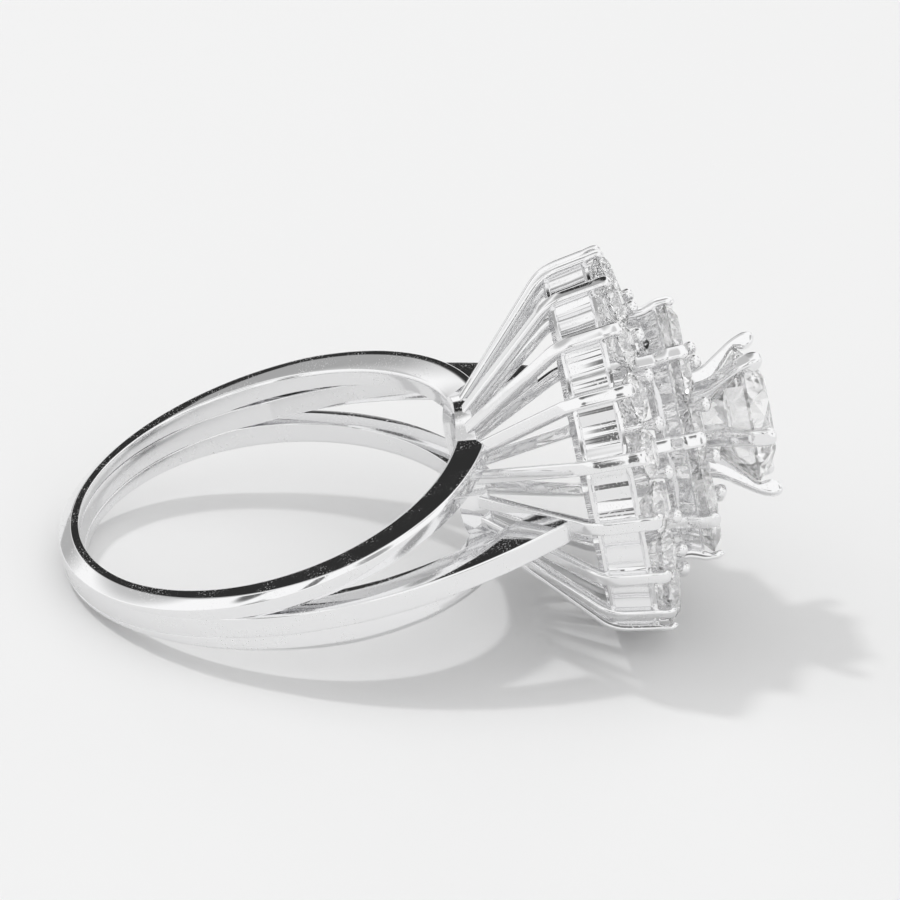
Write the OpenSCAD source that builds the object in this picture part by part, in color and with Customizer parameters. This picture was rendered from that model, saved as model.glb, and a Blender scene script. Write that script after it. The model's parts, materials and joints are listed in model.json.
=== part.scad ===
// Diamond cluster ring lying on its side, in millimetres.
// Modules are drawn in the head's own frame: x is the head's axis, from the middle of the finger
// hole outwards, and y and z lie across it. The finger hole's axis is z before the shank's turn.
// ring_at_rest() then lays the ring down.

/* [Finger hole and shank] */
// Radius of the finger hole
hole_r = 8.6; // [8.2:0.1:9.2]
// Radial thickness of the band at the back
band_t = 0.95; // [0.85:0.05:1.2]
// How much thicker the band is at the head than at the back
band_grow = 0.5; // [0.4:0.05:0.6]
// Width of the band at the back of the finger
band_w = 1.94; // [1.86:0.02:1.98]
// Extra width over the two outer strands where they meet the head
spread_w = 3.7; // [3.5:0.1:3.9]
// How late the strands spread, as a power of the way along the finger hole
spread_power = 1.5; // [1.4:0.05:1.7]
// Width of each outer strand
strand_w = 1; // [0.98:0.02:1.1]
// Distance of the outer strands' ends from the middle of the head
strand_end = 2.3; // [2:0.1:2.5]
// Turn of the shank about the head's axis, as it was soldered, in degrees
shank_turn = 3.5; // [0:0.5:4]
// Distance of the shank's middle above the head's middle
shank_rise = 0.14; // [0:0.02:0.2]

/* [Middle bar] */
// Width of the middle bar along the finger hole's axis
bar_w = 1; // [0.8:0.05:1.1]
// Radial thickness of the middle bar
bar_t = 1.5; // [1.3:0.05:1.6]
// Angle from the back of the band at which the bar leaves the band
bar_start = 62; // [56:1:68]
// Distance of the bar's end along the head's axis
bar_end_x = 12.38; // [12.1:0.02:12.5]
// Distance of the bar's end from the head's axis
bar_end_r = 7.16; // [7.1:0.02:7.3]
// Slope of the bar at its end, in degrees
bar_slope = 31; // [29:1:36]

/* [Basket] */
// Number of wires, and of outer stones
wires = 18; // [18]
// Width of a wire round the head
wire_w = 0.62; // [0.5:0.02:0.66]
// Thickness of a wire across that width
wire_t = 0.44; // [0.4:0.02:0.5]
// Outer radius of the collar under the head
collar_r = 3.25; // [3.15:0.05:3.4]
// Inner radius of the collar under the head
collar_bore_r = 2.5; // [2.3:0.05:2.6]
// Height of the collar's top over the hole's centre
collar_x = 9.35; // [9.3:0.05:9.5]
// Height at which the wires bend
bend_x = 13.52; // [13.4:0.02:13.6]
// Radius of the wires' middle at the bend
bend_r = 7.98; // [7.9:0.02:8.06]
// Radius of the wires' middle at their tips
tip_r = 8.42; // [8.36:0.02:8.48]
// Height of the wires' tips
tip_x = 16.3; // [16.28:0.02:16.4]
// Height of the gallery wall's top edge
gallery_top = 15.52; // [15.4:0.02:15.58]
// Thickness of the gallery wall
gallery_t = 0.32; // [0.25:0.01:0.4]

/* [Second tier] */
// Number of posts, and of inner stones
posts = 9; // [9]
// Width of a post round the head
post_w = 0.62; // [0.5:0.02:0.66]
// Thickness of a post across that width
post_t = 0.44; // [0.4:0.02:0.5]
// Radius of the posts' middle at their tips
post_r = 5.74; // [5.68:0.02:5.8]
// Height of the posts' tips
post_x = 18.95; // [18.9:0.05:19.1]
// Height of the second wall's lower edge
tier_x = 17.17; // [17.1:0.05:17.25]
// Height of the second wall
tier_h = 0.92; // [0.8:0.02:1]

/* [Centre setting] */
// Number of claws
claws = 6; // [6]
// Turn of the claws about the head's axis, in degrees
claw_turn = -9; // [-14:1:-4]
// Lean of the centre setting in the head, as it was soldered, in degrees
centre_lean = 1.5; // [0:0.25:2]
// Width of a claw
claw_w = 0.68; // [0.6:0.02:0.72]
// Outer radius of the claws where they are widest
claw_r = 3.62; // [3.56:0.02:3.68]
// Height of the claws' tips
claw_x = 21.95; // [21.9:0.05:22.05]

/* [Stones] */
// Girdle radius of the centre stone
centre_stone_r = 3; // [2.8:0.02:3.02]
// Height of the centre stone's girdle
centre_stone_x = 21.12; // [21.08:0.02:21.14]
// Girdle radius of each inner stone
inner_stone_r = 1.37; // [1.25:0.01:1.37]
// Height of the inner stones' girdles
inner_stone_x = 18.52; // [18.48:0.02:18.54]
// Girdle radius of each outer stone
outer_stone_r = 1.17; // [1.05:0.01:1.17]
// Height of the middle of the outer stones' girdles
outer_stone_x = 16.3; // [16.26:0.02:16.32]
// Outward lean of the outer stones, in degrees
outer_lean = 12; // [10:0.5:13]
// Clear gap between a stone and the metal that holds it
stone_gap = 0.04; // [0.03:0.01:0.06]
// Bead prongs' radius
bead_r = 0.2; // [0.16:0.01:0.2]

/* [Hidden] */
$fn = 48;
platinum = [0.85, 0.86, 0.88];
diamond = [0.93, 0.95, 0.98];
// the band's outside is a circle whose centre lies a little towards the head
band_shift = band_grow / 2;
band_r = hole_r + band_t + band_shift;
back_r = hole_r + band_t;
mid_r = hole_r + 0.525;
// how far the outer strands reach from the ring's middle plane, by distance along the head's axis
function half_w(x) = band_w / 2 + spread_w / 2 * pow(max(0, (1 + x / mid_r) / 2), spread_power);
// half of a girdle's height, as a share of its radius
half_girdle = 0.025;
// thin upper end of a wire or post, outside the stone's girdle
grip_t = 0.3;
outer_grip_r = tip_r + wire_t / 2 - grip_t;
// the outer stones lean, so the outermost point of a girdle is lower than its middle
outer_girdle_x = outer_stone_x - outer_stone_r * sin(outer_lean);
outer_ring_r = outer_grip_r - stone_gap - outer_stone_r * (cos(outer_lean) + half_girdle * sin(outer_lean));
inner_grip_r = post_r + post_t / 2 - grip_t;
inner_ring_r = inner_grip_r - stone_gap - inner_stone_r;
// ring inside the basket that carries the second tier, and the second tier's own rails
rail_x = 15.08;
rail_r = 5.48;
rail_t = 0.34;
rail_w = 0.4;
deck_x = 17.32;
base_r = 2.25;
base_w = 0.55;
// bead prongs between the stones, from their foot to their domed end
outer_bead_r = 6.2;
outer_bead_x = 17.32;
inner_bead_foot_r = 2.8;
inner_bead_r = 3.44;
inner_bead_x = 19.56;
// the ring rests on the bends of its two lowest wires and on the lower edge of the band's back
rest_drop = (bend_r + wire_t / 2) * cos(180 / wires) + wire_w / 2 * sin(180 / wires);
function edge_x(a) = band_shift - band_r * cos(a);
function edge_y(a) = band_r * sin(a);
function edge_z(a) = edge_y(a) * sin(shank_turn) + (shank_rise - half_w(edge_x(a))) * cos(shank_turn);
tilt = min([for (a = [-60:0.5:60]) atan2(rest_drop + edge_z(a), bend_x - edge_x(a))]);
lift = rest_drop * cos(tilt) - bend_x * sin(tilt);
// half way along the ring, so that it lies over the origin
middle_x = -6.2;

module ring_at_rest() {
    translate([middle_x, 0, lift]) rotate([0, -tilt, 0]) children();
}

// a flat shape of height and radius turned about the head's axis
module on_head(angle, t) {
    rotate([angle, 0, 0]) linear_extrude(height = t, center = true) children();
}

// the whole band's solid, with no width taken off yet
module band(w) {
    translate([band_shift, 0, 0]) cylinder(r = band_r, h = w, center = true, $fn = 180);
}

// the two outer strands, cut in side view out of the band
module outer_strands() {
    steps = 48;
    x0 = -back_r - 0.2;
    x1 = band_r + band_shift + 0.2;
    fork = mid_r * (2 * pow((2 * strand_w - band_w) / spread_w, 1 / spread_power) - 1);
    outside = [for (i = [0:steps]) let (x = x0 + (x1 - x0) * i / steps) [x, half_w(x)]];
    inside = [for (i = [0:steps]) let (x = x1 + (fork - x1) * i / steps)
        [x, max(0, half_w(x) - strand_w)]];
    difference() {
        intersection() {
            band(8);
            rotate([90, 0, 0]) linear_extrude(height = 24, center = true) polygon(concat(
                outside, inside,
                [for (i = [steps - 1:-1:0]) [inside[i][0], -inside[i][1]]],
                [for (i = [steps:-1:0]) [outside[i][0], -outside[i][1]]]));
        }
        translate([0, -strand_end, -5]) cube([12, 2 * strand_end, 10]);
    }
}

// middle strand round the back, between the outer strands
module middle_strand() {
    intersection() {
        band(bar_w);
        translate([-12, -12, -2]) cube([12.6, 24, 4]);
    }
}

// bar that leaves the band outwards and ends against a wire
module middle_bar(side) {
    // the curve begins a little inside the band, so that it comes out of its surface cleanly
    start_r = band_r - 0.03;
    start = [band_shift - start_r * cos(bar_start), -start_r * sin(bar_start)];
    start_dir = [sin(bar_start), -cos(bar_start)];
    end = [bar_end_x, -bar_end_r];
    end_dir = [cos(bar_slope), sin(bar_slope)];
    start_pull = 4.2 * start_dir;
    end_pull = 8.6 * end_dir;
    steps = 24;
    taper = 12;
    outside = [for (i = [0:steps]) let (t = i / steps, u = 1 - t)
        u * u * u * start + 3 * u * u * t * (start + start_pull)
        + 3 * u * t * t * (end - end_pull) + t * t * t * end];
    inside = [for (i = [steps:-1:0]) let (
            dir = i == steps ? end_dir : i == 0 ? start_dir : outside[i + 1] - outside[i - 1],
            w = bar_t * min(1, 0.6 + i / taper))
        outside[i] + w / norm(dir) * [-dir[1], dir[0]]];
    // the end is cut to lie against the wire behind it
    cut = [end + [-0.12, 0.9], end + [-1.1, 1.7]];
    scale([1, side, 1]) linear_extrude(height = bar_w, center = true)
        polygon(concat(outside, cut, inside));
}

// short tube under the head that the strands and wires are soldered to
module collar() {
    foot_x = 7.6;
    rotate([0, 90, 0]) rotate_extrude($fn = 96)
        translate([collar_bore_r, foot_x]) square([collar_r - collar_bore_r, collar_x - foot_x]);
}

// all of the shank, with the finger hole's wall cut in one piece
module shank() {
    rotate([shank_turn, 0, 0]) translate([0, 0, shank_rise]) difference() {
        union() {
            outer_strands();
            middle_strand();
            middle_bar(1);
            middle_bar(-1);
            collar();
        }
        cylinder(r = hole_r, h = 12, center = true, $fn = 180);
    }
}

// one basket wire, bent at the gallery and filed thin at its tip where it grips a stone
module wire() {
    half = wire_t / 2;
    foot = [collar_x - 0.45, collar_r - half];
    bend = [bend_x, bend_r];
    dir = (bend - foot) / norm(bend - foot);
    across = half * [-dir[1], dir[0]];
    grip = [outer_girdle_x, outer_grip_r];
    polygon([
        foot + across,
        bend + across - 0.1 * dir,
        bend + [0.12, half],
        [tip_x - 0.3, tip_r + half],
        [tip_x - 0.08, tip_r + half - 0.05],
        [tip_x, tip_r + half - 0.15],
        [tip_x, outer_grip_r - 0.1],
        [tip_x - 0.08, outer_grip_r - 0.08],
        grip + [0.06, 0],
        grip - [0.35, 0],
        [gallery_top, tip_r - half - 0.02],
        bend + [0.3, -half],
        bend - across - 0.05 * dir,
        foot - across]);
}

module basket() {
    for (i = [0:wires - 1]) on_head(i * 360 / wires, wire_w) wire();
}

// wall between the wires below the outer stones, and the ring and rails inside it
module outer_gallery() {
    bottom = bend_r - wire_t / 2 + 0.1;
    top = tip_r - wire_t / 2 + 0.06;
    rotate([0, 90, 0]) rotate_extrude($fn = 144) polygon([
        [bottom - gallery_t, bend_x + 0.06], [bottom, bend_x + 0.06],
        [top, gallery_top], [top - gallery_t, gallery_top]]);
    rotate([0, 90, 0]) rotate_extrude($fn = 120)
        translate([rail_r - 0.3, rail_x]) square([1, rail_t]);
    for (i = [0:wires - 1]) on_head((i + 0.5) * 360 / wires, rail_w)
        translate([rail_x + 0.02, rail_r + 0.5]) square([rail_t - 0.04, top - 0.15 - rail_r - 0.5]);
}

// round pin with a domed end, leaning from a foot on one radius to a head on another
module bead(x0, r0, x1, r1) {
    lean = atan2(r1 - r0, x1 - x0);
    long = norm([x1 - x0, r1 - r0]);
    translate([x0, r0, 0]) rotate([0, 90, 0]) rotate([-lean, 0, 0]) rotate_extrude($fn = 36)
        polygon(concat(
            [[0, 0], [bead_r, 0]],
            [for (a = [0:18:72]) [bead_r * cos(a), long - bead_r + bead_r * sin(a)]],
            [[0, long]]));
}

module outer_beads() {
    for (i = [0:wires - 1]) rotate([(i + 0.5) * 360 / wires, 0, 0])
        bead(rail_x + 0.1, outer_bead_r, outer_bead_x, outer_bead_r);
}

// one post of the second tier, standing on the inner ring
module post() {
    half = post_t / 2;
    grip = [inner_stone_x, inner_grip_r];
    polygon([
        [rail_x + 0.05, rail_r - half],
        [rail_x + 0.05, rail_r + half],
        [tier_x, rail_r + half],
        [post_x - 0.3, post_r + half],
        [post_x - 0.08, post_r + half - 0.05],
        [post_x, post_r + half - 0.15],
        [post_x, inner_grip_r - 0.1],
        [post_x - 0.08, inner_grip_r - 0.08],
        grip + [0.07, 0],
        grip - [0.4, 0],
        [tier_x + 0.3, rail_r - half + 0.04]]);
}

// the second tier's posts, wall, rails and bead prongs
module second_tier() {
    bottom = rail_r + 0.05;
    top = rail_r + 0.14;
    for (i = [0:posts - 1]) on_head(i * 360 / posts, post_w) post();
    rotate([0, 90, 0]) rotate_extrude($fn = 120) polygon([
        [bottom - gallery_t, tier_x], [bottom, tier_x],
        [top, tier_x + tier_h], [top - gallery_t, tier_x + tier_h]]);
    for (i = [0:posts - 1]) on_head((i + 0.5) * 360 / posts, rail_w)
        translate([deck_x, base_r - 0.2]) square([rail_t, bottom - 0.15 - base_r + 0.2]);
    for (i = [0:posts - 1]) rotate([(i + 0.5) * 360 / posts, 0, 0])
        bead(deck_x + 0.1, inner_bead_foot_r, inner_bead_x, inner_bead_r);
}

// the centre setting's own place in the head, leaning about its foot
module in_centre() {
    translate([deck_x, 0, 0]) rotate([0, centre_lean, 0]) translate([-deck_x, 0, 0]) children();
}

// one claw of the centre setting, flared out to the girdle and curled over the stone
module claw() {
    foot_x = deck_x + 0.12;
    neck_x = deck_x + 2.08;
    seat_r = centre_stone_r + stone_gap;
    polygon([
        [foot_x, base_r - base_w + 0.06], [foot_x, base_r + 0.04],
        [neck_x, base_r + 0.12], [neck_x + 0.6, base_r + 0.41],
        [claw_x - 1.2, claw_r - 0.38], [claw_x - 0.75, claw_r - 0.12], [claw_x - 0.45, claw_r],
        [claw_x - 0.2, claw_r - 0.02], [claw_x - 0.05, claw_r - 0.2], [claw_x, claw_r - 0.45],
        [claw_x - 0.1, claw_r - 0.62], [claw_x - 0.4, claw_r - 0.66],
        [centre_stone_x + 0.13, seat_r], [centre_stone_x - 0.13, seat_r],
        [neck_x + 0.8, base_r + 0.05], [neck_x + 0.1, base_r - 0.36],
        [neck_x - 0.5, base_r - base_w + 0.06]]);
}

// six claws on two rings, one above the other
module centre_setting() {
    lower_x = deck_x + 0.08;
    upper_x = deck_x + 1.45;
    in_centre() {
        for (i = [0:claws - 1]) on_head(claw_turn + i * 360 / claws, claw_w) claw();
        for (x = [lower_x, upper_x]) rotate([0, 90, 0]) rotate_extrude($fn = 72)
            translate([base_r - base_w, x]) square([base_w, rail_t]);
    }
}

module mounting() {
    color(platinum) ring_at_rest() union() {
        shank();
        basket();
        outer_gallery();
        outer_beads();
        second_tier();
        centre_setting();
    }
}

// round brilliant with its girdle's middle at height 0 and its table facing +z
module brilliant(r) {
    table_r = 0.57 * r;
    crown_h = 0.31 * r;
    star_r = 0.79 * r;
    star_h = 0.185 * r;
    girdle_h = 2 * half_girdle * r;
    culet_h = 0.86 * r;
    low_r = 0.42 * r;
    low_h = -0.53 * r;
    pts = concat(
        [for (i = [0:7]) [table_r * cos(45 * i), table_r * sin(45 * i), girdle_h / 2 + crown_h]],
        [for (i = [0:7]) [star_r * cos(45 * i + 22.5), star_r * sin(45 * i + 22.5), girdle_h / 2 + star_h]],
        [for (i = [0:15]) [r * cos(22.5 * i), r * sin(22.5 * i), girdle_h / 2]],
        [for (i = [0:15]) [r * cos(22.5 * i), r * sin(22.5 * i), -girdle_h / 2]],
        [for (i = [0:7]) [low_r * cos(45 * i), low_r * sin(45 * i), low_h]],
        [[0, 0, -culet_h]]);
    faces = concat(
        [[7, 6, 5, 4, 3, 2, 1, 0]],
        [for (i = [0:7]) [i, (i + 1) % 8, 8 + i]],
        [for (i = [0:7]) [i, 8 + i, 16 + 2 * i]],
        [for (i = [0:7]) [i, 16 + 2 * i, 8 + (i + 7) % 8]],
        [for (i = [0:7]) [8 + i, 16 + (2 * i + 1) % 16, 16 + 2 * i]],
        [for (i = [0:7]) [8 + i, 16 + (2 * i + 2) % 16, 16 + (2 * i + 1) % 16]],
        [for (i = [0:15]) [16 + i, 16 + (i + 1) % 16, 32 + (i + 1) % 16, 32 + i]],
        [for (i = [0:7]) [32 + 2 * i, 32 + (2 * i + 1) % 16, 48 + i]],
        [for (i = [0:7]) [32 + (2 * i + 1) % 16, 32 + (2 * i + 2) % 16, 48 + (i + 1) % 8]],
        [for (i = [0:7]) [32 + (2 * i + 1) % 16, 48 + (i + 1) % 8, 48 + i]],
        [for (i = [0:7]) [48 + i, 48 + (i + 1) % 8, 56]]);
    polyhedron(points = pts, faces = faces, convexity = 2);
}

module centre_stone() {
    color(diamond) ring_at_rest() in_centre()
        translate([centre_stone_x, 0, 0]) rotate([0, 90, 0]) brilliant(centre_stone_r);
}

module inner_stone(i) {
    color(diamond) ring_at_rest() rotate([i * 360 / posts, 0, 0])
        translate([inner_stone_x, inner_ring_r, 0]) rotate([0, 90, 0]) brilliant(inner_stone_r);
}

module outer_stone(i) {
    color(diamond) ring_at_rest() rotate([i * 360 / wires, 0, 0])
        translate([outer_stone_x, outer_ring_r, 0]) rotate([0, 0, outer_lean])
        rotate([0, 90, 0]) brilliant(outer_stone_r);
}

mounting();
centre_stone();
for (i = [1:posts]) inner_stone(i);
for (i = [1:wires]) outer_stone(i);
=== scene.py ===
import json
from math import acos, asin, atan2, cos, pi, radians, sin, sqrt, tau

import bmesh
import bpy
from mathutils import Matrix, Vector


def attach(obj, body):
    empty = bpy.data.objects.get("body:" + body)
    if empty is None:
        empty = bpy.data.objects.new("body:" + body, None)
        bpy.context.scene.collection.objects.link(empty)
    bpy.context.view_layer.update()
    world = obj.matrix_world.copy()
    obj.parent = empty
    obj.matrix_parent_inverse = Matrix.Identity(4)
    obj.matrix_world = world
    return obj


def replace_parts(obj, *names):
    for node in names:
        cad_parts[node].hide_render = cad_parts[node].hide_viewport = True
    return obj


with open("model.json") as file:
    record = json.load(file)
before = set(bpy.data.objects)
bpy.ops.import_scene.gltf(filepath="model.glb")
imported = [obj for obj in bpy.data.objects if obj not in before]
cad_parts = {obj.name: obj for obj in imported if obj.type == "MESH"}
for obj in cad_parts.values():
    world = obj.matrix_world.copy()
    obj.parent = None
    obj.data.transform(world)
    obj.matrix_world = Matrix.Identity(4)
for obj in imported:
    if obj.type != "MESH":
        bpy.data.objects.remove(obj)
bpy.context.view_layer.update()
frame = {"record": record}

# Diamond cluster ring on a pale table, seen as in the photograph. Its polished platinum mounting and
# its cut diamonds are built again here with rounded edges, domed claw tips and full facets, over the
# same sizes as the solids.
#
# The head's own frame has x along the head's axis, from the middle of the finger hole outwards. The
# shank's frame has the same x, and the finger hole's axis as z. Both are in millimetres.

MM = 0.001

# How far from its corner an edge starts to round, and the most that this may be of a bar's side
MOST_EDGE = 0.45
SHARP_EDGE = 0.02
SEAM_EDGE = 0.03
EDGE = 0.05
BAR_INNER_EDGE = 0.06
SOFT_EDGE = 0.08
BAR_OUTER_EDGE = 0.09
COLLAR_EDGE = 0.12
WIRE_EDGE = 0.13
CLAW_EDGE = 0.17

# Finger hole and shank
HOLE_R = 8.6
BAND_T = 0.95
BAND_GROW = 0.5
BAND_W = 1.94
SPREAD_W = 3.7
SPREAD_POWER = 1.5
STRAND_W = 1.0
STRAND_END = 2.3
STRAND_END_R = HOLE_R + 0.6
STRAND_STEPS = 180
SHANK_RISE = 0.14
BAND_SHIFT = BAND_GROW / 2
BAND_R = HOLE_R + BAND_T + BAND_SHIFT
MIDDLE_R = HOLE_R + 0.525
MIDDLE_HALF = 0.45
MIDDLE_SUNK = 0.01
MIDDLE_END_X = 0.6
MIDDLE_STEPS = 96
SEAM = 0.015

# Flat side of an outer strand: its width at the back, its growth towards the head, and the least that
# is left outside it. Only the upper strand's slopes: on the far half inwards, more and more between two
# angles from the back, but for a ledge along its outer edge, and on the near half outwards.
SIDE_W = 0.36
SIDE_GROW = 1.5
SIDE_POWER = 1.3
SIDE_RIM = 0.08
FAR_CANT = 0.22
FAR_CANT_ANGLES = (radians(45), radians(75))
NEAR_CANT = 0.14
LEDGE_W = 0.34
LEDGE_FROM = 0.02
LEDGE_EDGE = 0.4
SIDE_EDGE = 0.06
SIDE_EDGE_GROW = 0.1

# Shoulder outside the flat side: its drop at the back, how much less it is at the head, and the most
# that it takes of the strand's width
SHOULDER_DROP = 0.38
SHOULDER_LESS = 0.2
SHOULDER_MOST = 0.8

# Middle bars: each runs along a curve that both of its ends pull straight, starts thin, grows once
# more towards the end, and is cut there at a slant
BAR_W = 1.0
BAR_T = 1.5
BAR_START = radians(62)
BAR_SUNK = 0.03
BAR_END = (12.38, 7.16)
BAR_SLOPE = radians(31)
BAR_PULLS = (4.2, 8.6)
BAR_THIN = 0.6
BAR_THIN_RATE = 2
BAR_GROW = 0.4
BAR_GROW_FROM = 0.6
BAR_CUT = 0.4
BAR_CUT_PIVOT = 0.5
BAR_CUT_FROM = 0.85
BAR_CLEAR = 0.02
BAR_STEPS = 48

# Basket
WIRES = 18
WIRE_W = 0.62
WIRE_T = 0.44
COLLAR_R = 3.25
COLLAR_BORE_R = 2.5
COLLAR_X = 9.35
COLLAR_SIDES = 96
WIRE_FOOT_X = COLLAR_X - 0.45
BEND = (13.52, 7.98)
BEND_SETBACK = 0.7
TIP = (16.3, 8.42)
GALLERY_TOP = 15.52
GALLERY_FOOT = (BEND[0] + 0.02, BEND[1] - WIRE_T / 2 + 0.12)
GALLERY_R = TIP[1] - WIRE_T / 2 + 0.06
GALLERY_DIP = 0.32
GALLERY_FLUTE = 0.05
WALL_T = 0.32
KNEE = (GALLERY_TOP - 0.4, TIP[1] - 0.16)
RAIL_X = 15.08
RAIL_R = 5.48
RAIL_T = 0.34
RAIL_W = 0.4
RAIL_SUNK = 0.02
RAIL_ENDS = (RAIL_R + 0.5, GALLERY_R - 0.5)
RING_IN_R = RAIL_R - 0.3
RING_OUT_R = RAIL_R + 0.7
RING_SIDES = 108

# Troughs of a wall: the sides of each, the share of its gap that dips, how close its flutes are, how
# far they shift from one gap to the next, and how quickly they fade towards the gap's ends
TROUGH_SIDES = 40
TROUGH_SPAN = 0.85
FLUTE_RATE = 9.5
FLUTE_TURN = 1.7
FLUTE_FADE = 3

# Upright outline of a wall, with the columns: 1 outside or 0 inside, share of the height, share of the
# dip
WALL_OUTLINE = (
    (0, 0.0, 0), (0, 1.0, 0), (1, 1.0, 0), (1, 0.93, 0), (1, 0.89, 0.3), (1, 0.87, 1), (1, 0.5, 1.06),
    (1, 0.11, 1), (1, 0.09, 0.3), (1, 0.06, 0), (1, 0.0, 0))

# Bead prongs, from the foot's radius on, with the columns: distance from the end, radius
BEAD_OUTLINE = (
    (0.72, 0.18), (0.56, 0.22), (0.44, 0.28), (0.28, 0.32), (0.14, 0.29), (0.04, 0.19), (0, 0.06))
BEAD_FOOT_R = 0.19
BEAD_WIDE = 1.12
BEAD_SIDES = 14
OUTER_BEAD = ((RAIL_X + 0.1, 6.2), (17.32, 6.2))

# Second tier
POSTS = 9
POST_W = 0.68
POST_T = 0.44
POST_R = 5.74
POST_X = 18.95
TIER_X = 17.17
TIER_H = 0.92
TIER_FOOT_R = RAIL_R - 0.25
TIER_HEAD_R = RAIL_R + 0.14
TIER_DIP = 0.3
TIER_FLUTE = 0.03
DECK_X = 17.32
INNER_BEAD = ((DECK_X + 0.1, 2.8), (19.56, 3.44))

# Centre setting
CLAWS = 6
CLAW_TURN = radians(-9)
CENTRE_LEAN = radians(1.5)
CLAW_W = 0.68
CLAW_R = 3.62
BASE_R = 2.25
BASE_W = 0.55
BASE_HEIGHTS = (DECK_X + 0.08, DECK_X + 1.45)
DECK_RAIL_ENDS = (BASE_R - 0.2, RAIL_R - 0.7)
BASE_SIDES = 72

# Stones: radius and height of the girdle, then a brilliant's proportions over its radius
CENTRE_STONE = (3.0, 21.12)
INNER_STONE = (1.37, 18.52)
OUTER_STONE = (1.17, 16.3)
OUTER_LEAN = radians(12)
STONE_GAP = 0.04
TABLE_R = 0.57
CROWN_H = 0.31
STAR_R = 0.79
HALF_GIRDLE = 0.025
CULET_H = 0.86
LOW_R = 0.27

# Where the tips hold the stones
GRIP_T = 0.3
OUTER_GRIP_R = TIP[1] + WIRE_T / 2 - GRIP_T
INNER_GRIP_R = POST_R + POST_T / 2 - GRIP_T
OUTER_GIRDLE_X = OUTER_STONE[1] - OUTER_STONE[0] * sin(OUTER_LEAN)
OUTER_RING_R = OUTER_GRIP_R - STONE_GAP - OUTER_STONE[0] * (
    cos(OUTER_LEAN) + HALF_GIRDLE * sin(OUTER_LEAN))
INNER_RING_R = INNER_GRIP_R - STONE_GAP - INNER_STONE[0]

# The head's and the shank's frames, from the finger hole's mount
mount = frame["record"]["mounts"][0]
hole_axis = Vector(mount["axis"])
hole_centre = Vector(mount["pos_m"])
tilt = atan2(-hole_axis.x, hole_axis.z)
shank_turn = asin(-hole_axis.y)
shank_frame = (Matrix.Translation(hole_centre) @ Matrix.Rotation(-tilt, 4, "Y")
               @ Matrix.Rotation(shank_turn, 4, "X") @ Matrix.Scale(MM, 4))
head_frame = (shank_frame @ Matrix.Translation((0, 0, -SHANK_RISE))
              @ Matrix.Rotation(-shank_turn, 4, "X"))
centre_frame = (head_frame @ Matrix.Translation((DECK_X, 0, 0))
                @ Matrix.Rotation(CENTRE_LEAN, 4, "Y") @ Matrix.Translation((-DECK_X, 0, 0)))


# Shapes

class Shape:
    """Points and faces of one piece, each part of it a closed shell."""

    def __init__(self):
        self.points = []
        self.faces = []

    def sweep(self, rings, closed=False):
        """Joins equal rings of points, one after another, and closes both ends of an open sweep."""
        count = len(rings)
        size = len(rings[0])
        first = len(self.points)
        for ring in rings:
            self.points += [tuple(p) for p in ring]
        for i in range(count if closed else count - 1):
            a = first + i * size
            b = first + (i + 1) % count * size
            for j in range(size):
                k = (j + 1) % size
                self.faces.append((a + j, a + k, b + k, b + j))
        if not closed:
            last = first + (count - 1) * size
            self.faces.append(tuple(first + j for j in reversed(range(size))))
            self.faces.append(tuple(last + j for j in range(size)))


def part_way(value, low, high):
    """How far value is from low to high, from 0 to 1."""
    return min(1, max(0, (value - low) / (high - low)))


def corner_curve(before, corner, after, setback, steps):
    """Points of a short curve round a corner, from setback before it to setback after it."""
    a = corner + (before - corner).normalized() * setback
    b = corner + (after - corner).normalized() * setback
    return [a.lerp(corner, k / steps).lerp(corner.lerp(b, k / steps), k / steps) for k in range(steps + 1)]


def rounded(corners, steps=3):
    """Closed outline through corners (u, v, setback), each of them rounded."""
    outline = []
    for i, (u, v, setback) in enumerate(corners):
        before = Vector(corners[i - 1][:2])
        after = Vector(corners[(i + 1) % len(corners)][:2])
        outline += corner_curve(before, Vector((u, v)), after, setback, steps)
    return outline


def bent(points, setback, steps=6):
    """Open line through (height, radius) points, with each inner corner rounded."""
    line = [Vector(p) for p in points]
    curves = [corner_curve(*three, setback, steps) for three in zip(line, line[1:], line[2:])]
    return [line[0], *sum(curves, []), line[-1]]


def beside(line, thick):
    """Pairs of points thick apart, one on each side of a line."""
    pairs = []
    for i, p in enumerate(line):
        way = (line[min(i + 1, len(line) - 1)] - line[max(i - 1, 0)]).normalized()
        side = Vector((-way.y, way.x)) * thick / 2
        pairs.append((p - side, p + side))
    return pairs


def eased(stations, steps=4):
    """Those stations with more between them, on a smooth curve through them."""
    rows = [(*inner, *outer, width) for inner, outer, width in stations]
    line = []
    for i in range(len(rows) - 1):
        four = rows[max(i - 1, 0)], rows[i], rows[i + 1], rows[min(i + 2, len(rows) - 1)]
        for k in range(steps):
            t = k / steps
            line.append([
                q + 0.5 * t * (r - p + t * (2 * p - 5 * q + 4 * r - s + t * (3 * q - p - 3 * r + s)))
                for p, q, r, s in zip(*four)])
    return [((v[0], v[1]), (v[2], v[3]), v[4]) for v in line + [rows[-1]]]


def round_head(x, r, across, angle):
    """Point at height x and radius r, moved across, in the sector at that angle round the head's axis."""
    return (x, r * cos(angle) - across * sin(angle), r * sin(angle) + across * cos(angle))


def strip(shape, stations, angle, soft, steps=2):
    """Bar of rounded rectangles, each from an inner to an outer (height, radius) and of some width."""
    rings = []
    for inner, outer, width in stations:
        inner = Vector(inner)
        across = Vector(outer) - inner
        thick = across.length
        along = across / thick
        half = width / 2
        edge = min(soft, MOST_EDGE * thick, MOST_EDGE * width)
        corners = [(0, -half, edge), (thick, -half, edge), (thick, half, edge), (0, half, edge)]
        ring = []
        for u, v in rounded(corners, steps):
            p = inner + along * u
            ring.append(round_head(p.x, p.y, v, angle))
        rings.append(ring)
    shape.sweep(rings)


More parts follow.
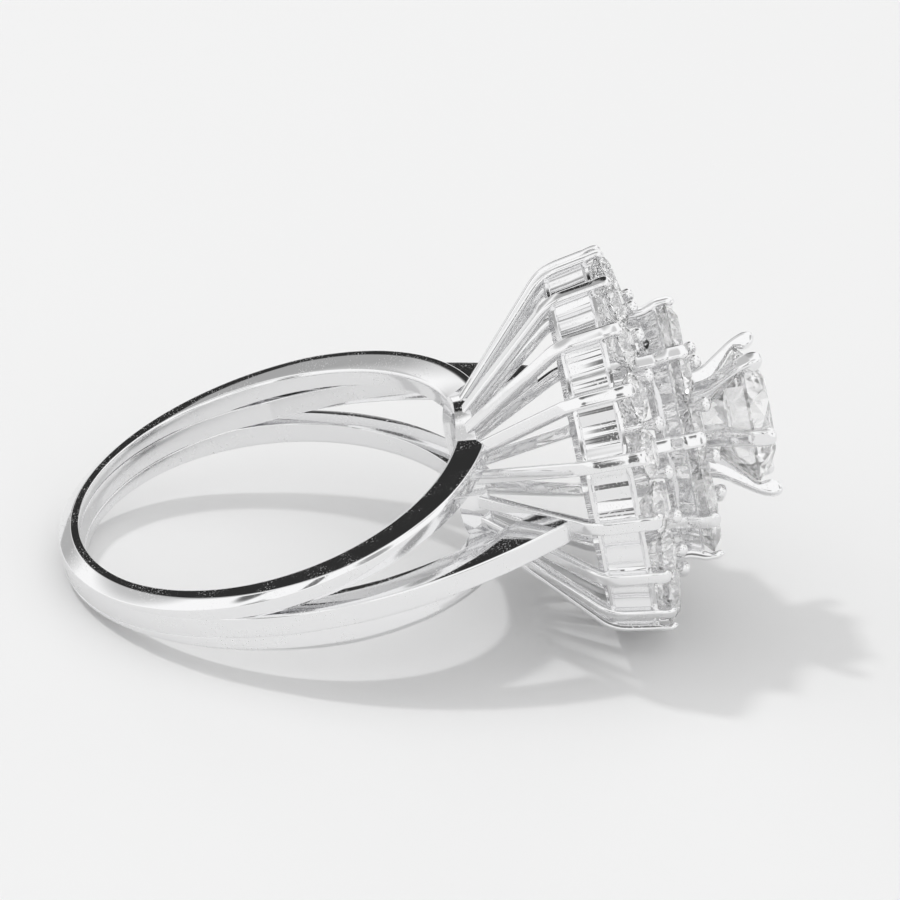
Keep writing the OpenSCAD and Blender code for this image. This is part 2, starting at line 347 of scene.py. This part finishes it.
def rail(shape, bottom, top, in_r, out_r, angle):
    """Straight rail outwards from the head's axis."""
    strip(shape, [((bottom, r), (top, r), RAIL_W) for r in (in_r, out_r)], angle, SOFT_EDGE)


def hoop(shape, in_r, out_r, bottom, top, count):
    """Flat hoop round the head's axis."""
    profile = rounded([(in_r, bottom, SOFT_EDGE), (out_r, bottom, SOFT_EDGE),
                       (out_r, top, SOFT_EDGE), (in_r, top, SOFT_EDGE)])
    shape.sweep([[round_head(x, r, 0, tau * i / count) for r, x in profile] for i in range(count)], True)


def troughs(shape, gaps, foot, head, depth, flute):
    """Wall round the head: in each gap a polished trough with flutes along it, and a rim at both ends."""
    rings = []
    for i in range(gaps * TROUGH_SIDES):
        angle = tau * i / (gaps * TROUGH_SIDES)
        place = i % TROUGH_SIDES / TROUGH_SIDES * 2 - 1
        inside = max(0, 1 - (place / TROUGH_SPAN) ** 2)
        turn = FLUTE_TURN * (i // TROUGH_SIDES)
        ripple = flute * (1 - cos(FLUTE_RATE * place + turn)) * min(1, FLUTE_FADE * inside)
        dip = depth * inside + ripple
        ring = []
        for outer, up, press in WALL_OUTLINE:
            x = foot[0] + (head[0] - foot[0]) * up
            r = foot[1] + (head[1] - foot[1]) * up - (0 if outer else WALL_T + dip) - dip * press
            ring.append(round_head(x, r, 0, angle))
        rings.append(ring)
    shape.sweep(rings, True)


def bead(shape, foot, end, angle):
    """Pin with a round bead at its end, leaning from (height, radius) to (height, radius)."""
    foot = Vector(foot)
    end = Vector(end)
    way = (end - foot).normalized()
    side = Vector((-way.y, way.x))
    length = (end - foot).length
    rings = []
    for along, r in [(0, BEAD_FOOT_R), *((length - short, r) for short, r in BEAD_OUTLINE)]:
        ring = []
        for k in range(BEAD_SIDES):
            turn = tau * k / BEAD_SIDES
            q = foot + way * along + side * r * cos(turn)
            ring.append(round_head(q.x, q.y, BEAD_WIDE * r * sin(turn), angle))
        rings.append(ring)
    shape.sweep(rings)


def make(name, shape, place, material, smooth=35):
    """Object of that shape, carried to its place, with faces smooth up to that angle or flat."""
    mesh = bpy.data.meshes.new(name)
    mesh.from_pydata(shape.points, [], shape.faces)
    mesh.transform(place)
    shell = bmesh.new()
    shell.from_mesh(mesh)
    bmesh.ops.recalc_face_normals(shell, faces=shell.faces)
    shell.to_mesh(mesh)
    shell.free()
    if smooth:
        mesh.polygons.foreach_set("use_smooth", [True] * len(mesh.polygons))
        mesh.set_sharp_from_angle(angle=radians(smooth))
    mesh.materials.append(material)
    piece = bpy.data.objects.new(name, mesh)
    bpy.context.scene.collection.objects.link(piece)
    return piece


# Shank

def half_width(x):
    """How far the outer strands reach from the ring's middle plane, at x along the head's axis."""
    way = max(0, (1 + x / MIDDLE_R) / 2)
    return BAND_W / 2 + SPREAD_W / 2 * way ** SPREAD_POWER


def band_outside(angle):
    """Radius of the band's outside from the hole's axis, at an angle from the back."""
    return sqrt(BAND_R ** 2 - (BAND_SHIFT * sin(angle)) ** 2) - BAND_SHIFT * cos(angle)


def on_shank(angle, radius, z):
    """Point of the shank at an angle from the back and a radius from the hole's axis."""
    return (-radius * cos(angle), radius * sin(angle), z)


def outer_strand(shape, side):
    """One outer strand: a flat side that widens towards the head, and a shoulder down from it."""
    end = pi - asin(STRAND_END / STRAND_END_R)
    rings = []
    for i in range(STRAND_STEPS + 1):
        angle = -end + 2 * end * i / STRAND_STEPS
        way = (1 - cos(angle)) / 2
        outside = band_outside(angle)
        middle_x = -(HOLE_R + outside) / 2 * cos(angle)
        width = min(STRAND_W, half_width(middle_x) - MIDDLE_HALF - SEAM)
        flat = min(SIDE_W + SIDE_GROW * way ** SIDE_POWER, outside - HOLE_R - SIDE_RIM)
        ledge = max(LEDGE_FROM, flat - LEDGE_W)
        drop = SHOULDER_DROP - SHOULDER_LESS * way
        cant = sink = 0
        if side > 0 and angle > 0:
            sink = FAR_CANT * ledge * part_way(angle, *FAR_CANT_ANGLES)
        elif side > 0:
            cant = NEAR_CANT * way ** 2
        section = rounded([
            (HOLE_R, sink, SIDE_EDGE + SIDE_EDGE_GROW * ledge),
            (HOLE_R + ledge, cant * ledge, LEDGE_EDGE * min(ledge, LEDGE_W)),
            (HOLE_R + flat, cant * flat, EDGE),
            (outside, min(drop + cant * flat, SHOULDER_MOST * width), EDGE),
            (outside, width, SHARP_EDGE),
            (HOLE_R, width, EDGE)])
        rings.append([on_shank(angle, r, side * (half_width(-r * cos(angle)) - depth))
                      for r, depth in section])
    shape.sweep(rings)


def middle_strand(shape):
    """Middle strand round the back, up to where the bars have left it."""
    end = acos(-MIDDLE_END_X / BAND_R)
    rings = []
    for i in range(MIDDLE_STEPS + 1):
        angle = -end + 2 * end * i / MIDDLE_STEPS
        outside = band_outside(angle) - MIDDLE_SUNK
        section = rounded([
            (HOLE_R, -MIDDLE_HALF, SHARP_EDGE), (outside, -MIDDLE_HALF, SEAM_EDGE),
            (outside, MIDDLE_HALF, SEAM_EDGE), (HOLE_R, MIDDLE_HALF, SHARP_EDGE)])
        rings.append([on_shank(angle, r, z) for r, z in section])
    shape.sweep(rings)


def middle_bar(shape, side):
    """Bar that leaves the band outwards and ends against a basket wire."""
    start_r = BAND_R - BAR_SUNK
    start = Vector((BAND_SHIFT - start_r * cos(BAR_START), -start_r * sin(BAR_START)))
    end = Vector((BAR_END[0], -BAR_END[1]))
    from_start = start + BAR_PULLS[0] * Vector((sin(BAR_START), -cos(BAR_START)))
    from_end = end - BAR_PULLS[1] * Vector((cos(BAR_SLOPE), sin(BAR_SLOPE)))
    half = BAR_W / 2
    rings = []
    for i in range(BAR_STEPS + 1):
        t = i / BAR_STEPS
        u = 1 - t
        p = u ** 3 * start + 3 * u * u * t * from_start + 3 * u * t * t * from_end + t ** 3 * end
        way = 3 * u * u * (from_start - start) + 6 * u * t * (from_end - from_start)
        way = (way + 3 * t * t * (end - from_end)).normalized()
        inward = Vector((-way.y, way.x))
        thick = BAR_T * min(1, BAR_THIN + BAR_THIN_RATE * t) + BAR_GROW * part_way(t, BAR_GROW_FROM, 1)
        section = rounded([
            (0, -half, BAR_OUTER_EDGE), (0, half, BAR_OUTER_EDGE),
            (thick, half, BAR_INNER_EDGE), (thick, -half, BAR_INNER_EDGE)])
        ring = []
        for depth, z in section:
            back = BAR_CUT * (depth - BAR_CUT_PIVOT) * part_way(t, BAR_CUT_FROM, 1)
            q = p + inward * depth - way * back
            # no point of the bar reaches into the finger hole
            short = HOLE_R + BAR_CLEAR - q.length
            if short > 0:
                q += q.normalized() * short
            ring.append((q.x, side * q.y, z))
        rings.append(ring)
    shape.sweep(rings)


def collar(shape):
    """Tube under the head, cut off below by the finger hole."""
    corners = [(COLLAR_R, HOLE_R, 0), (COLLAR_R, COLLAR_X, COLLAR_EDGE),
               (COLLAR_BORE_R, COLLAR_X, SOFT_EDGE), (COLLAR_BORE_R, HOLE_R, 0)]
    # the curves of the two upper corners, 4 points each
    top = rounded(corners)[4:12]
    rings = []
    for i in range(COLLAR_SIDES):
        angle = tau * i / COLLAR_SIDES
        foot = [(r, sqrt(HOLE_R ** 2 - (r * cos(angle)) ** 2)) for r in (COLLAR_BORE_R, COLLAR_R)]
        rings.append([round_head(x, r, 0, angle) for r, x in [*top, *foot]])
    shape.sweep(rings, True)


# Head

def basket_wire(shape, angle):
    """One wire: up from the collar, bent at the gallery, thinned at its tip and domed over the stone."""
    half = WIRE_T / 2
    line = bent([(WIRE_FOOT_X, COLLAR_R - half), BEND, KNEE], BEND_SETBACK)
    stations = [(inner, outer, WIRE_W) for inner, outer in beside(line, WIRE_T)]
    inside = TIP[1] - half
    outside = TIP[1] + half
    grip = OUTER_GRIP_R
    girdle = OUTER_GIRDLE_X
    # inner height and radius, outer height and radius, width
    stations += eased([
        ((15.3, inside - 0.1), (15.28, outside - 0.13), WIRE_W),
        ((15.5, inside - 0.03), (15.48, outside - 0.1), WIRE_W),
        ((girdle - 0.36, grip - 0.03), (girdle - 0.36, outside - 0.05), 1.02 * WIRE_W),
        ((girdle - 0.1, grip), (girdle - 0.08, outside), 1.04 * WIRE_W),
        ((girdle + 0.08, grip - 0.02), (girdle + 0.12, outside - 0.02), WIRE_W),
        ((TIP[0] - 0.1, grip - 0.03), (TIP[0] - 0.04, outside - 0.08), 0.84 * WIRE_W),
        ((TIP[0] - 0.04, grip + 0.01), (TIP[0] + 0.04, outside - 0.17), 0.56 * WIRE_W),
        ((TIP[0], grip + 0.08), (TIP[0] + 0.05, outside - 0.21), 0.2 * WIRE_W)])
    strip(shape, stations, angle, WIRE_EDGE, 3)


def basket_wires(shape):
    """All the basket's wires."""
    for i in range(WIRES):
        basket_wire(shape, tau * i / WIRES)


def gallery(shape):
    """Wall between the wires, ring inside it that carries the second tier, and rails between the two."""
    troughs(shape, WIRES, GALLERY_FOOT, (GALLERY_TOP, GALLERY_R), GALLERY_DIP, GALLERY_FLUTE)
    hoop(shape, RING_IN_R, RING_OUT_R, RAIL_X, RAIL_X + RAIL_T, RING_SIDES)
    for i in range(WIRES):
        rail(shape, RAIL_X + RAIL_SUNK, RAIL_X + RAIL_T - RAIL_SUNK, *RAIL_ENDS,
             tau * (i + 0.5) / WIRES)


def outer_beads(shape):
    """Bead prongs between the outer stones."""
    for i in range(WIRES):
        bead(shape, *OUTER_BEAD, tau * (i + 0.5) / WIRES)


def post(shape, angle):
    """One post of the second tier, thinned at its tip and domed over the stone."""
    half = POST_T / 2
    inside = RAIL_R - half
    outside = RAIL_R + half
    top = POST_R + half
    grip = INNER_GRIP_R
    girdle = INNER_STONE[1]
    # inner height and radius, outer height and radius, width
    stations = eased([
        ((RAIL_X + 0.05, inside), (RAIL_X + 0.05, outside), POST_W),
        ((TIER_X, inside + 0.02), (TIER_X, outside), POST_W),
        ((TIER_X + 0.5, inside + 0.06), (TIER_X + 0.45, outside + 0.07), POST_W),
        ((girdle - 0.42, POST_R - half), (girdle - 0.45, top - 0.03), POST_W),
        ((girdle - 0.15, grip), (girdle - 0.12, top), POST_W),
        ((girdle + 0.1, grip - 0.02), (girdle + 0.14, top), POST_W),
        ((POST_X - 0.16, grip - 0.05), (POST_X - 0.08, top - 0.07), 0.88 * POST_W),
        ((POST_X - 0.06, grip - 0.02), (POST_X + 0.02, top - 0.16), 0.6 * POST_W),
        ((POST_X - 0.01, grip + 0.05), (POST_X + 0.04, top - 0.21), 0.2 * POST_W)])
    strip(shape, stations, angle, WIRE_EDGE, 3)


def second_tier(shape):
    """Posts and the wall between them, and between the posts a rail and a bead prong."""
    for i in range(POSTS):
        post(shape, tau * i / POSTS)
    troughs(shape, POSTS, (TIER_X, TIER_FOOT_R), (TIER_X + TIER_H, TIER_HEAD_R), TIER_DIP, TIER_FLUTE)
    for i in range(POSTS):
        angle = tau * (i + 0.5) / POSTS
        rail(shape, DECK_X, DECK_X + RAIL_T, *DECK_RAIL_ENDS, angle)
        bead(shape, *INNER_BEAD, angle)


def claw(shape, angle):
    """One claw of the centre setting: a rounded wire that flares out and curls over the girdle."""
    seat = CENTRE_STONE[0] + STONE_GAP
    # inner height and radius, outer height and radius, width
    stations = eased([
        ((17.44, 1.2), (17.44, 2.3), 1.3 * CLAW_W),
        ((18.5, 1.1), (18.5, 2.34), 1.25 * CLAW_W),
        ((19.2, 1.2), (19.15, 2.4), 1.2 * CLAW_W),
        ((19.7, 1.62), (19.6, 2.55), 1.15 * CLAW_W),
        ((20.2, 2.15), (20.1, 2.88), 1.12 * CLAW_W),
        ((20.65, 2.64), (20.6, 3.22), 1.1 * CLAW_W),
        ((21.0, seat), (20.95, 3.45), 1.1 * CLAW_W),
        ((21.3, seat), (21.26, 3.6), 1.1 * CLAW_W),
        ((21.56, seat - 0.02), (21.54, CLAW_R + 0.08), 1.08 * CLAW_W),
        ((21.76, seat + 0.02), (21.8, CLAW_R + 0.1), CLAW_W),
        ((21.92, seat + 0.1), (22.0, CLAW_R + 0.04), 0.84 * CLAW_W),
        ((22.0, seat + 0.2), (22.08, CLAW_R - 0.08), 0.6 * CLAW_W),
        ((22.04, seat + 0.3), (22.1, CLAW_R - 0.16), 0.22 * CLAW_W)])
    strip(shape, stations, angle, CLAW_EDGE, 4)


def centre_setting(shape):
    """Claws of the centre stone and the two hoops that join them."""
    for i in range(CLAWS):
        claw(shape, CLAW_TURN + tau * i / CLAWS)
    for x in BASE_HEIGHTS:
        hoop(shape, BASE_R - BASE_W, BASE_R, x, x + RAIL_T, BASE_SIDES)


# Stones

def brilliant(radius):
    """Round brilliant with its table facing +z: 57 facets and a girdle."""
    half_girdle = HALF_GIRDLE * radius
    crown_h = CROWN_H * radius
    star_h = crown_h * (1 - STAR_R * cos(pi / 8)) / (1 - TABLE_R)
    culet_h = CULET_H * radius
    low_h = culet_h - (culet_h - half_girdle) * LOW_R * cos(pi / 8)
    shape = Shape()

    def level(r, z, count, turn=0.0):
        """Numbers of new points, evenly round the stone's axis at that radius and height."""
        first = len(shape.points)
        shape.points += [(r * cos(tau * (i + turn) / count), r * sin(tau * (i + turn) / count), z)
                         for i in range(count)]
        return [first + i for i in range(count)]

    table = level(TABLE_R * radius, half_girdle + crown_h, 8)
    star = level(STAR_R * radius, half_girdle + star_h, 8, 0.5)
    upper = level(radius, half_girdle, 16)
    lower = level(radius, -half_girdle, 16)
    low = level(LOW_R * radius, -low_h, 8, 0.5)
    culet = level(0, -culet_h, 1)[0]
    shape.faces.append(tuple(table))
    for i in range(8):
        j = (i + 1) % 8
        a, b, c = 2 * i, 2 * i + 1, (2 * i + 2) % 16
        shape.faces += [
            (table[i], table[j], star[i]), (table[j], star[i], upper[c], star[j]),
            (star[i], upper[a], upper[b]), (star[i], upper[b], upper[c]),
            (low[i], lower[a], lower[b]), (low[i], lower[b], lower[c]),
            (culet, low[i], lower[c], low[j])]
    for i in range(16):
        j = (i + 1) % 16
        shape.faces.append((upper[i], upper[j], lower[j], lower[i]))
    return shape


# Materials

# Platinum: its colour, the waves of hand polishing, then specks and worn patches, each with its noise
# from one value to another and its share of roughness there, and the roughness of the clean metal
PLATINUM_COLOUR = (0.87, 0.87, 0.875, 1)
WAVE_SCALE = 420
WAVE_DEPTH = 1.4e-5
SPECK_SCALE = 12000
SPECK_SHARE = (0.56, 0.66, 0, 0.35)
WORN_SCALE = 600
WORN_SHARE = (0.42, 0.58, 0.05, 0.9)
CLEAN_ROUGH = 0.06

# Diamond and tabletop
DIAMOND_COLOUR = (1, 1, 1, 1)
DIAMOND_IOR = 2.1
DIAMOND_CLEAR = 0.94
TABLETOP_COLOUR = (0.825, 0.825, 0.825, 1)
TABLETOP_ROUGH = 0.9
TABLETOP_SHINE = 0.1
TABLETOP_SIDE = 4


def new_material(name):
    """New node material, and its shader."""
    material = bpy.data.materials.new(name)
    material.use_nodes = True
    return material, material.node_tree.nodes["Principled BSDF"]


def platinum_material():
    """Polished platinum with the slow waves of hand polishing, and worn patches full of specks."""
    material, shader = new_material("platinum")
    nodes = material.node_tree.nodes
    links = material.node_tree.links
    shader.inputs["Base Color"].default_value = PLATINUM_COLOUR
    shader.inputs["Metallic"].default_value = 1
    place = nodes.new("ShaderNodeTexCoord")

    def noise(scale, detail):
        """Noise in space, with so many cells to the metre."""
        grain = nodes.new("ShaderNodeTexNoise")
        grain.inputs["Scale"].default_value = scale
        grain.inputs["Detail"].default_value = detail
        links.new(place.outputs["Object"], grain.inputs["Vector"])
        return grain.outputs["Fac"]

    def between(value, low, high, least, most):
        """From least to most, as the value goes from low to high."""
        node = nodes.new("ShaderNodeMapRange")
        links.new(value, node.inputs["Value"])
        node.inputs["From Min"].default_value = low
        node.inputs["From Max"].default_value = high
        node.inputs["To Min"].default_value = least
        node.inputs["To Max"].default_value = most
        return node.outputs["Result"]

    waves = nodes.new("ShaderNodeBump")
    waves.inputs["Strength"].default_value = 1
    waves.inputs["Distance"].default_value = WAVE_DEPTH
    links.new(noise(WAVE_SCALE, 1), waves.inputs["Height"])
    links.new(waves.outputs["Normal"], shader.inputs["Normal"])
    specks = between(noise(SPECK_SCALE, 2), *SPECK_SHARE)
    worn = between(noise(WORN_SCALE, 2), *WORN_SHARE)
    rough = nodes.new("ShaderNodeMath")
    rough.operation = "MULTIPLY_ADD"
    links.new(specks, rough.inputs[0])
    links.new(worn, rough.inputs[1])
    rough.inputs[2].default_value = CLEAN_ROUGH
    links.new(rough.outputs[0], shader.inputs["Roughness"])
    return material


def diamond_material():
    """Clear colourless diamond, with a softer play of light than a real one's, as in the photograph."""
    material, shader = new_material("diamond")
    shader.inputs["Base Color"].default_value = DIAMOND_COLOUR
    shader.inputs["Roughness"].default_value = 0
    shader.inputs["IOR"].default_value = DIAMOND_IOR
    shader.inputs["Transmission Weight"].default_value = DIAMOND_CLEAR
    return material


def tabletop_material():
    """Pale matt tabletop."""
    material, shader = new_material("pale_table")
    shader.inputs["Base Color"].default_value = TABLETOP_COLOUR
    shader.inputs["Roughness"].default_value = TABLETOP_ROUGH
    shader.inputs["Specular IOR Level"].default_value = TABLETOP_SHINE
    return material


platinum = platinum_material()
diamond = diamond_material()


# Pieces

def metal(name, place, draw, *values):
    """Metal piece drawn in that frame by that function."""
    shape = Shape()
    draw(shape, *values)
    piece = make(name, shape, place, platinum)
    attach(piece, "root")
    return piece


def stone(name, size, radius, turn, place, lean=0):
    """Stone in place of the node of that name, at a radius and an angle round the head's axis."""
    girdle_r, height = size
    seat = (place @ Matrix.Rotation(turn, 4, "X") @ Matrix.Translation((height, radius, 0))
            @ Matrix.Rotation(lean, 4, "Z") @ Matrix.Rotation(pi / 2, 4, "Y"))
    piece = make("cut_" + name, brilliant(girdle_r), seat, diamond, smooth=0)
    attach(piece, "root")
    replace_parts(piece, name)


metal("upper_strand", shank_frame, outer_strand, 1)
metal("lower_strand", shank_frame, outer_strand, -1)
metal("middle_strand", shank_frame, middle_strand)
metal("near_bar", shank_frame, middle_bar, 1)
metal("far_bar", shank_frame, middle_bar, -1)
metal("collar", shank_frame, collar)
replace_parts(metal("basket_wires", head_frame, basket_wires), "mounting")
metal("gallery", head_frame, gallery)
metal("outer_beads", head_frame, outer_beads)
metal("second_tier", head_frame, second_tier)
metal("centre_setting", centre_frame, centre_setting)

stone("centre_stone", CENTRE_STONE, 0, 0, centre_frame)
for i in range(1, POSTS + 1):
    stone(f"inner_stone_{i}", INNER_STONE, INNER_RING_R, tau * i / POSTS, head_frame)
for i in range(1, WIRES + 1):
    stone(f"outer_stone_{i}", OUTER_STONE, OUTER_RING_R, tau * i / WIRES, head_frame, OUTER_LEAN)

# Tabletop
bpy.ops.mesh.primitive_plane_add(size=TABLETOP_SIDE)
table_top = bpy.context.object
table_top.name = "table_top"
table_top.data.materials.append(tabletop_material())

# Room: a bright one with darker patches, in the columns: direction, angle within which the patch is
# full, angle beyond which it is gone, share of the light that it takes
ROOM_STRENGTH = 1.07
ROOM_PATCHES = (
    # behind the ring, seen in the band's flat side
    ((-0.14, 0.8, 0.58), 13, 19, 0.97),
    # behind the ring on the left and overhead, seen in the band and the bars
    ((-0.49, 0.87, 0.08), 8, 22, 0.55),
    ((-0.71, 0.37, 0.6), 10, 22, 0.45),
    ((-0.36, 0.6, 0.71), 12, 22, 0.6),
    ((-0.3, -0.1, 0.95), 10, 20, 0.35),
    # round the camera, seen in the gallery
    ((-0.52, -0.81, 0.25), 4, 8, 0.85),
    ((-0.63, -0.35, 0.69), 4, 8, 0.85),
    ((-0.13, -0.9, 0.42), 4, 8, 0.8),
    ((-0.44, -0.88, 0.06), 5, 10, 0.85),
    ((-0.6, -0.62, 0.51), 2, 5, 0.8),
    # in front of the head, seen in the stones
    ((0.93, 0.15, 0.35), 5, 14, 0.6),
    ((0.62, -0.35, 0.7), 5, 13, 0.6),
    ((0.6, 0.7, 0.4), 5, 14, 0.6),
    ((0.55, -0.8, 0.25), 5, 12, 0.6))

world = bpy.data.worlds.new("studio")
bpy.context.scene.world = world
world.use_nodes = True
room = world.node_tree
background = room.nodes["Background"]
room_way = room.nodes.new("ShaderNodeTexCoord")


def calculated(operation, *values):
    """Output of a math node on numbers and on outputs of other nodes."""
    node = room.nodes.new("ShaderNodeMath")
    node.operation = operation
    for socket, value in zip(node.inputs, values):
        if isinstance(value, (int, float)):
            socket.default_value = value
        else:
            room.links.new(value, socket)
    return node.outputs[0]


def patch(direction, inner, outer, share):
    """Share of a round patch of the room, full within the inner angle and gone at the outer one."""
    near = room.nodes.new("ShaderNodeVectorMath")
    near.operation = "DOT_PRODUCT"
    room.links.new(room_way.outputs["Generated"], near.inputs[0])
    near.inputs[1].default_value = Vector(direction).normalized()
    fade = room.nodes.new("ShaderNodeMapRange")
    fade.interpolation_type = "SMOOTHSTEP"
    room.links.new(near.outputs["Value"], fade.inputs["Value"])
    fade.inputs["From Min"].default_value = cos(radians(outer))
    fade.inputs["From Max"].default_value = cos(radians(inner))
    return calculated("MULTIPLY", fade.outputs["Result"], share)


shade = 0.0
for room_patch in ROOM_PATCHES:
    shade = calculated("MAXIMUM", shade, patch(*room_patch))
room.links.new(calculated("SUBTRACT", 1.0, shade), background.inputs["Color"])
background.inputs["Strength"].default_value = ROOM_STRENGTH

# Key light, in metres and watts, which isn't seen in the metal
KEY_PLACE = (-0.525, 0.123, 1.072)
KEY_SIZE = 0.09
KEY_POWER = 3.05

key_data = bpy.data.lights.new("key", "AREA")
key_data.shape = "SQUARE"
key_data.size = KEY_SIZE
key_data.energy = KEY_POWER
key = bpy.data.objects.new("key", key_data)
key.location = KEY_PLACE
key.visible_glossy = False
key.rotation_euler = Vector(KEY_PLACE).to_track_quat("Z", "Y").to_euler()
bpy.context.scene.collection.objects.link(key)

# Camera, fitted to the photograph: degrees and millimetres in the shank's frame, and pixels
CAMERA_TURN = -0.01
CAMERA_RISE = 29.68
CAMERA_ROLL = -11.58
CAMERA_FAR = 300
HOLE_AT = (274.6, 508.1)
FOCAL_PIXELS = 6829
PICTURE = 900
SENSOR = 36

turn, rise, roll = (radians(v) for v in (CAMERA_TURN, CAMERA_RISE, CAMERA_ROLL))
back = Vector((sin(turn) * cos(rise), -cos(turn) * cos(rise), sin(rise)))
level_right = Vector((cos(turn), sin(turn), 0))
level_up = back.cross(level_right)
right = cos(roll) * level_right + sin(roll) * level_up
up = cos(roll) * level_up - sin(roll) * level_right
shift_right = (HOLE_AT[0] - PICTURE / 2) / FOCAL_PIXELS * CAMERA_FAR
shift_up = (PICTURE / 2 - HOLE_AT[1]) / FOCAL_PIXELS * CAMERA_FAR
eye = CAMERA_FAR * back - shift_right * right - shift_up * up
to_world = shank_frame.to_3x3().normalized()
axes = Matrix([to_world @ v for v in (right, up, back)]).transposed().to_4x4()
lens = bpy.data.cameras.new("camera")
lens.sensor_fit = "HORIZONTAL"
lens.sensor_width = SENSOR
lens.lens = FOCAL_PIXELS / PICTURE * SENSOR
lens.clip_start = 0.01
lens.clip_end = 20
camera = bpy.data.objects.new("camera", lens)
camera.matrix_world = Matrix.Translation(shank_frame @ eye) @ axes
bpy.context.scene.collection.objects.link(camera)
bpy.context.scene.camera = camera
bpy.context.scene.view_settings.view_transform = "Standard"
bpy.context.scene.cycles.max_bounces = 24
bpy.context.scene.cycles.glossy_bounces = 16
bpy.context.scene.cycles.transmission_bounces = 24
